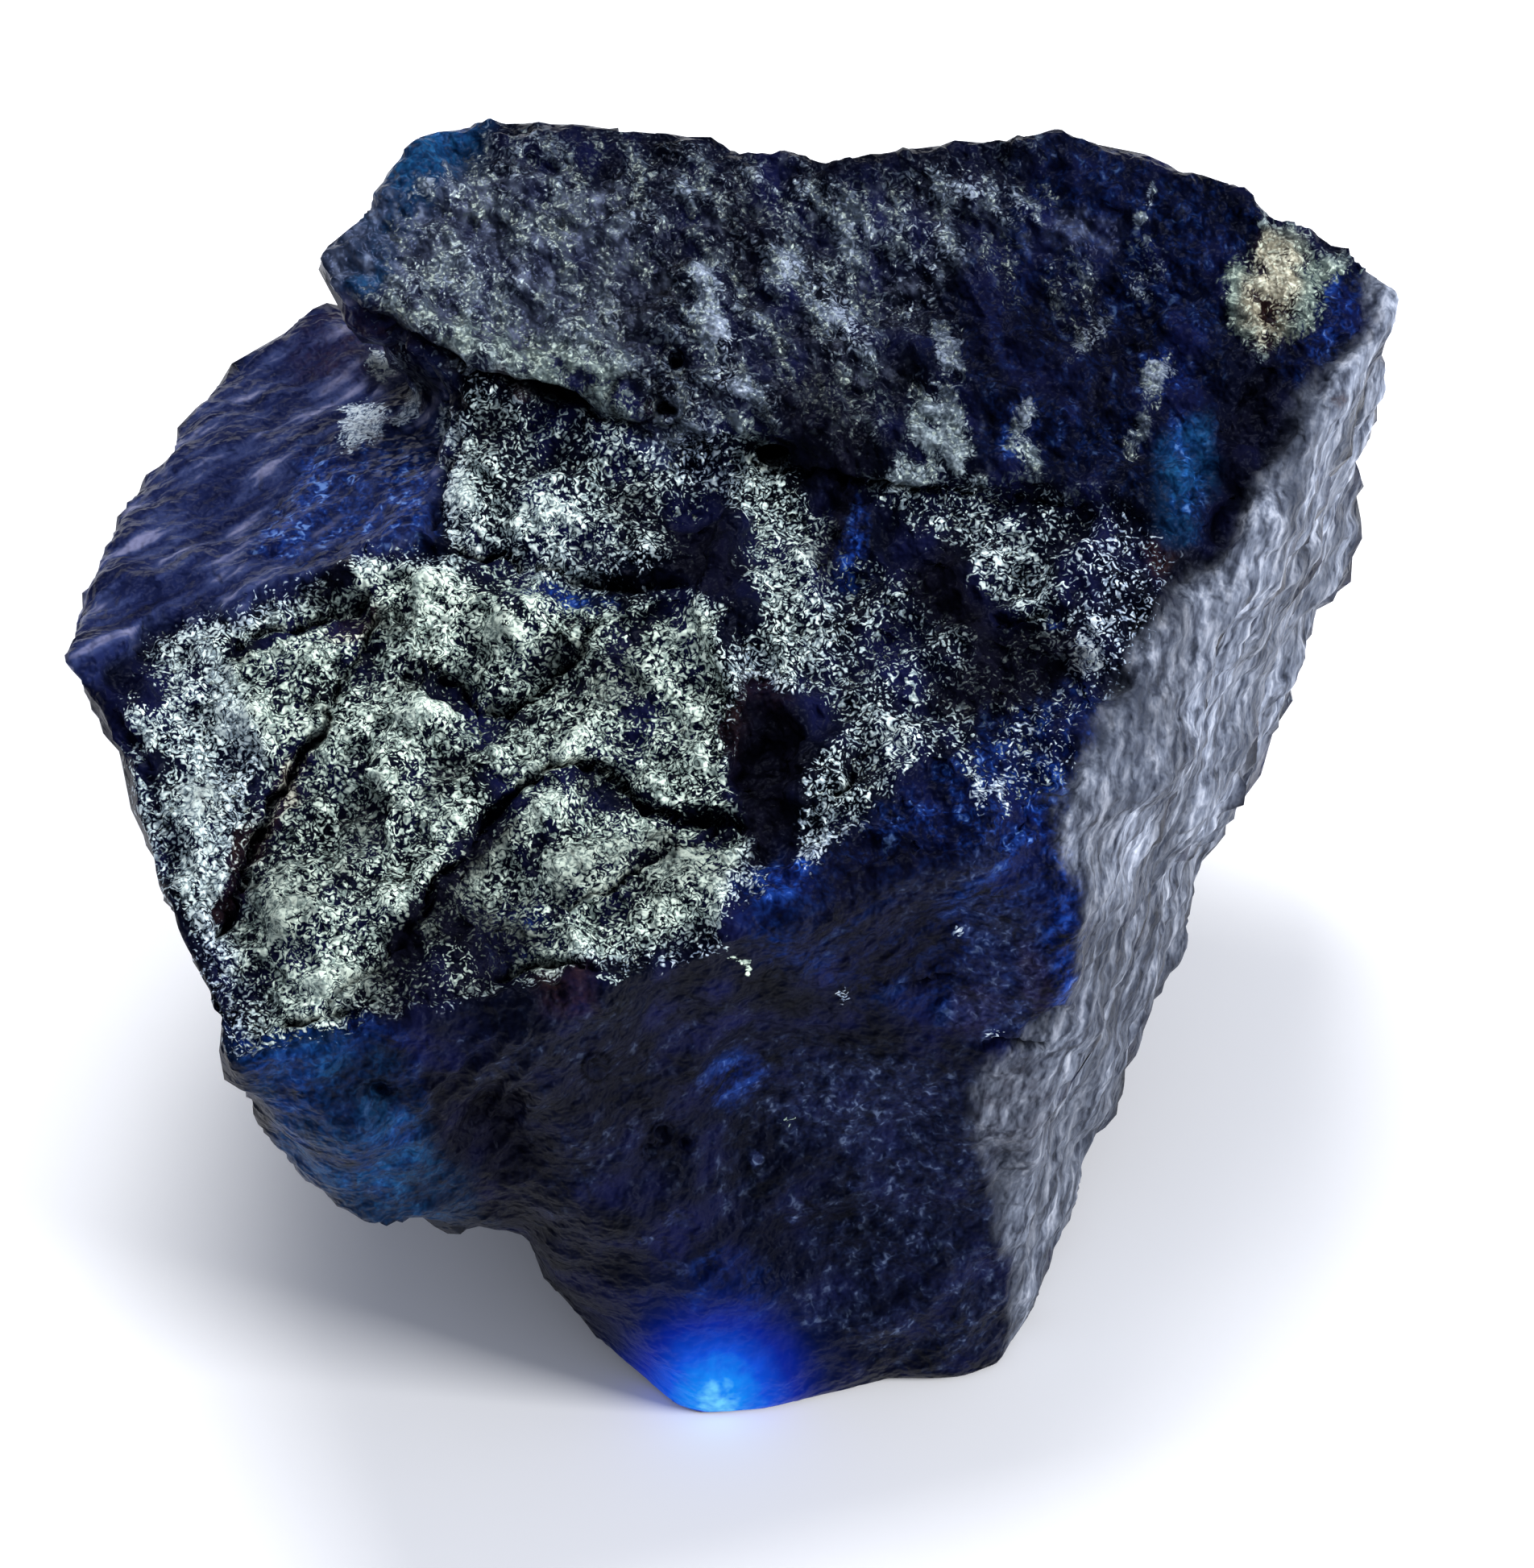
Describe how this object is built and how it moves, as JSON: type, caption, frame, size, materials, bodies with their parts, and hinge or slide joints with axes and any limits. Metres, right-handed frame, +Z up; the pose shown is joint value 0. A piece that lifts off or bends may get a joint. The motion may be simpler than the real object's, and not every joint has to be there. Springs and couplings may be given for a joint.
{
  "type": "rough sapphire",
  "caption": "Rough sapphire: a broken lump of dark blue corundum with a broad sloping top, a ledge across it and a narrow flat foot.",
  "frame": {"origin": "on the floor under the middle of the stone's bounding box", "axes": "+Z up, +X along the longest side, -Y the front, where the broad top slopes down"},
  "size_m": [0.048, 0.04, 0.0349],
  "materials": {
    "sapphire": "dark blue rough corundum, frosted and pitted on the broad top, translucent blue at thin edges"
  },
  "bodies": {
    "root": {"sapphire": "sapphire"}
  },
  "joints": []
}
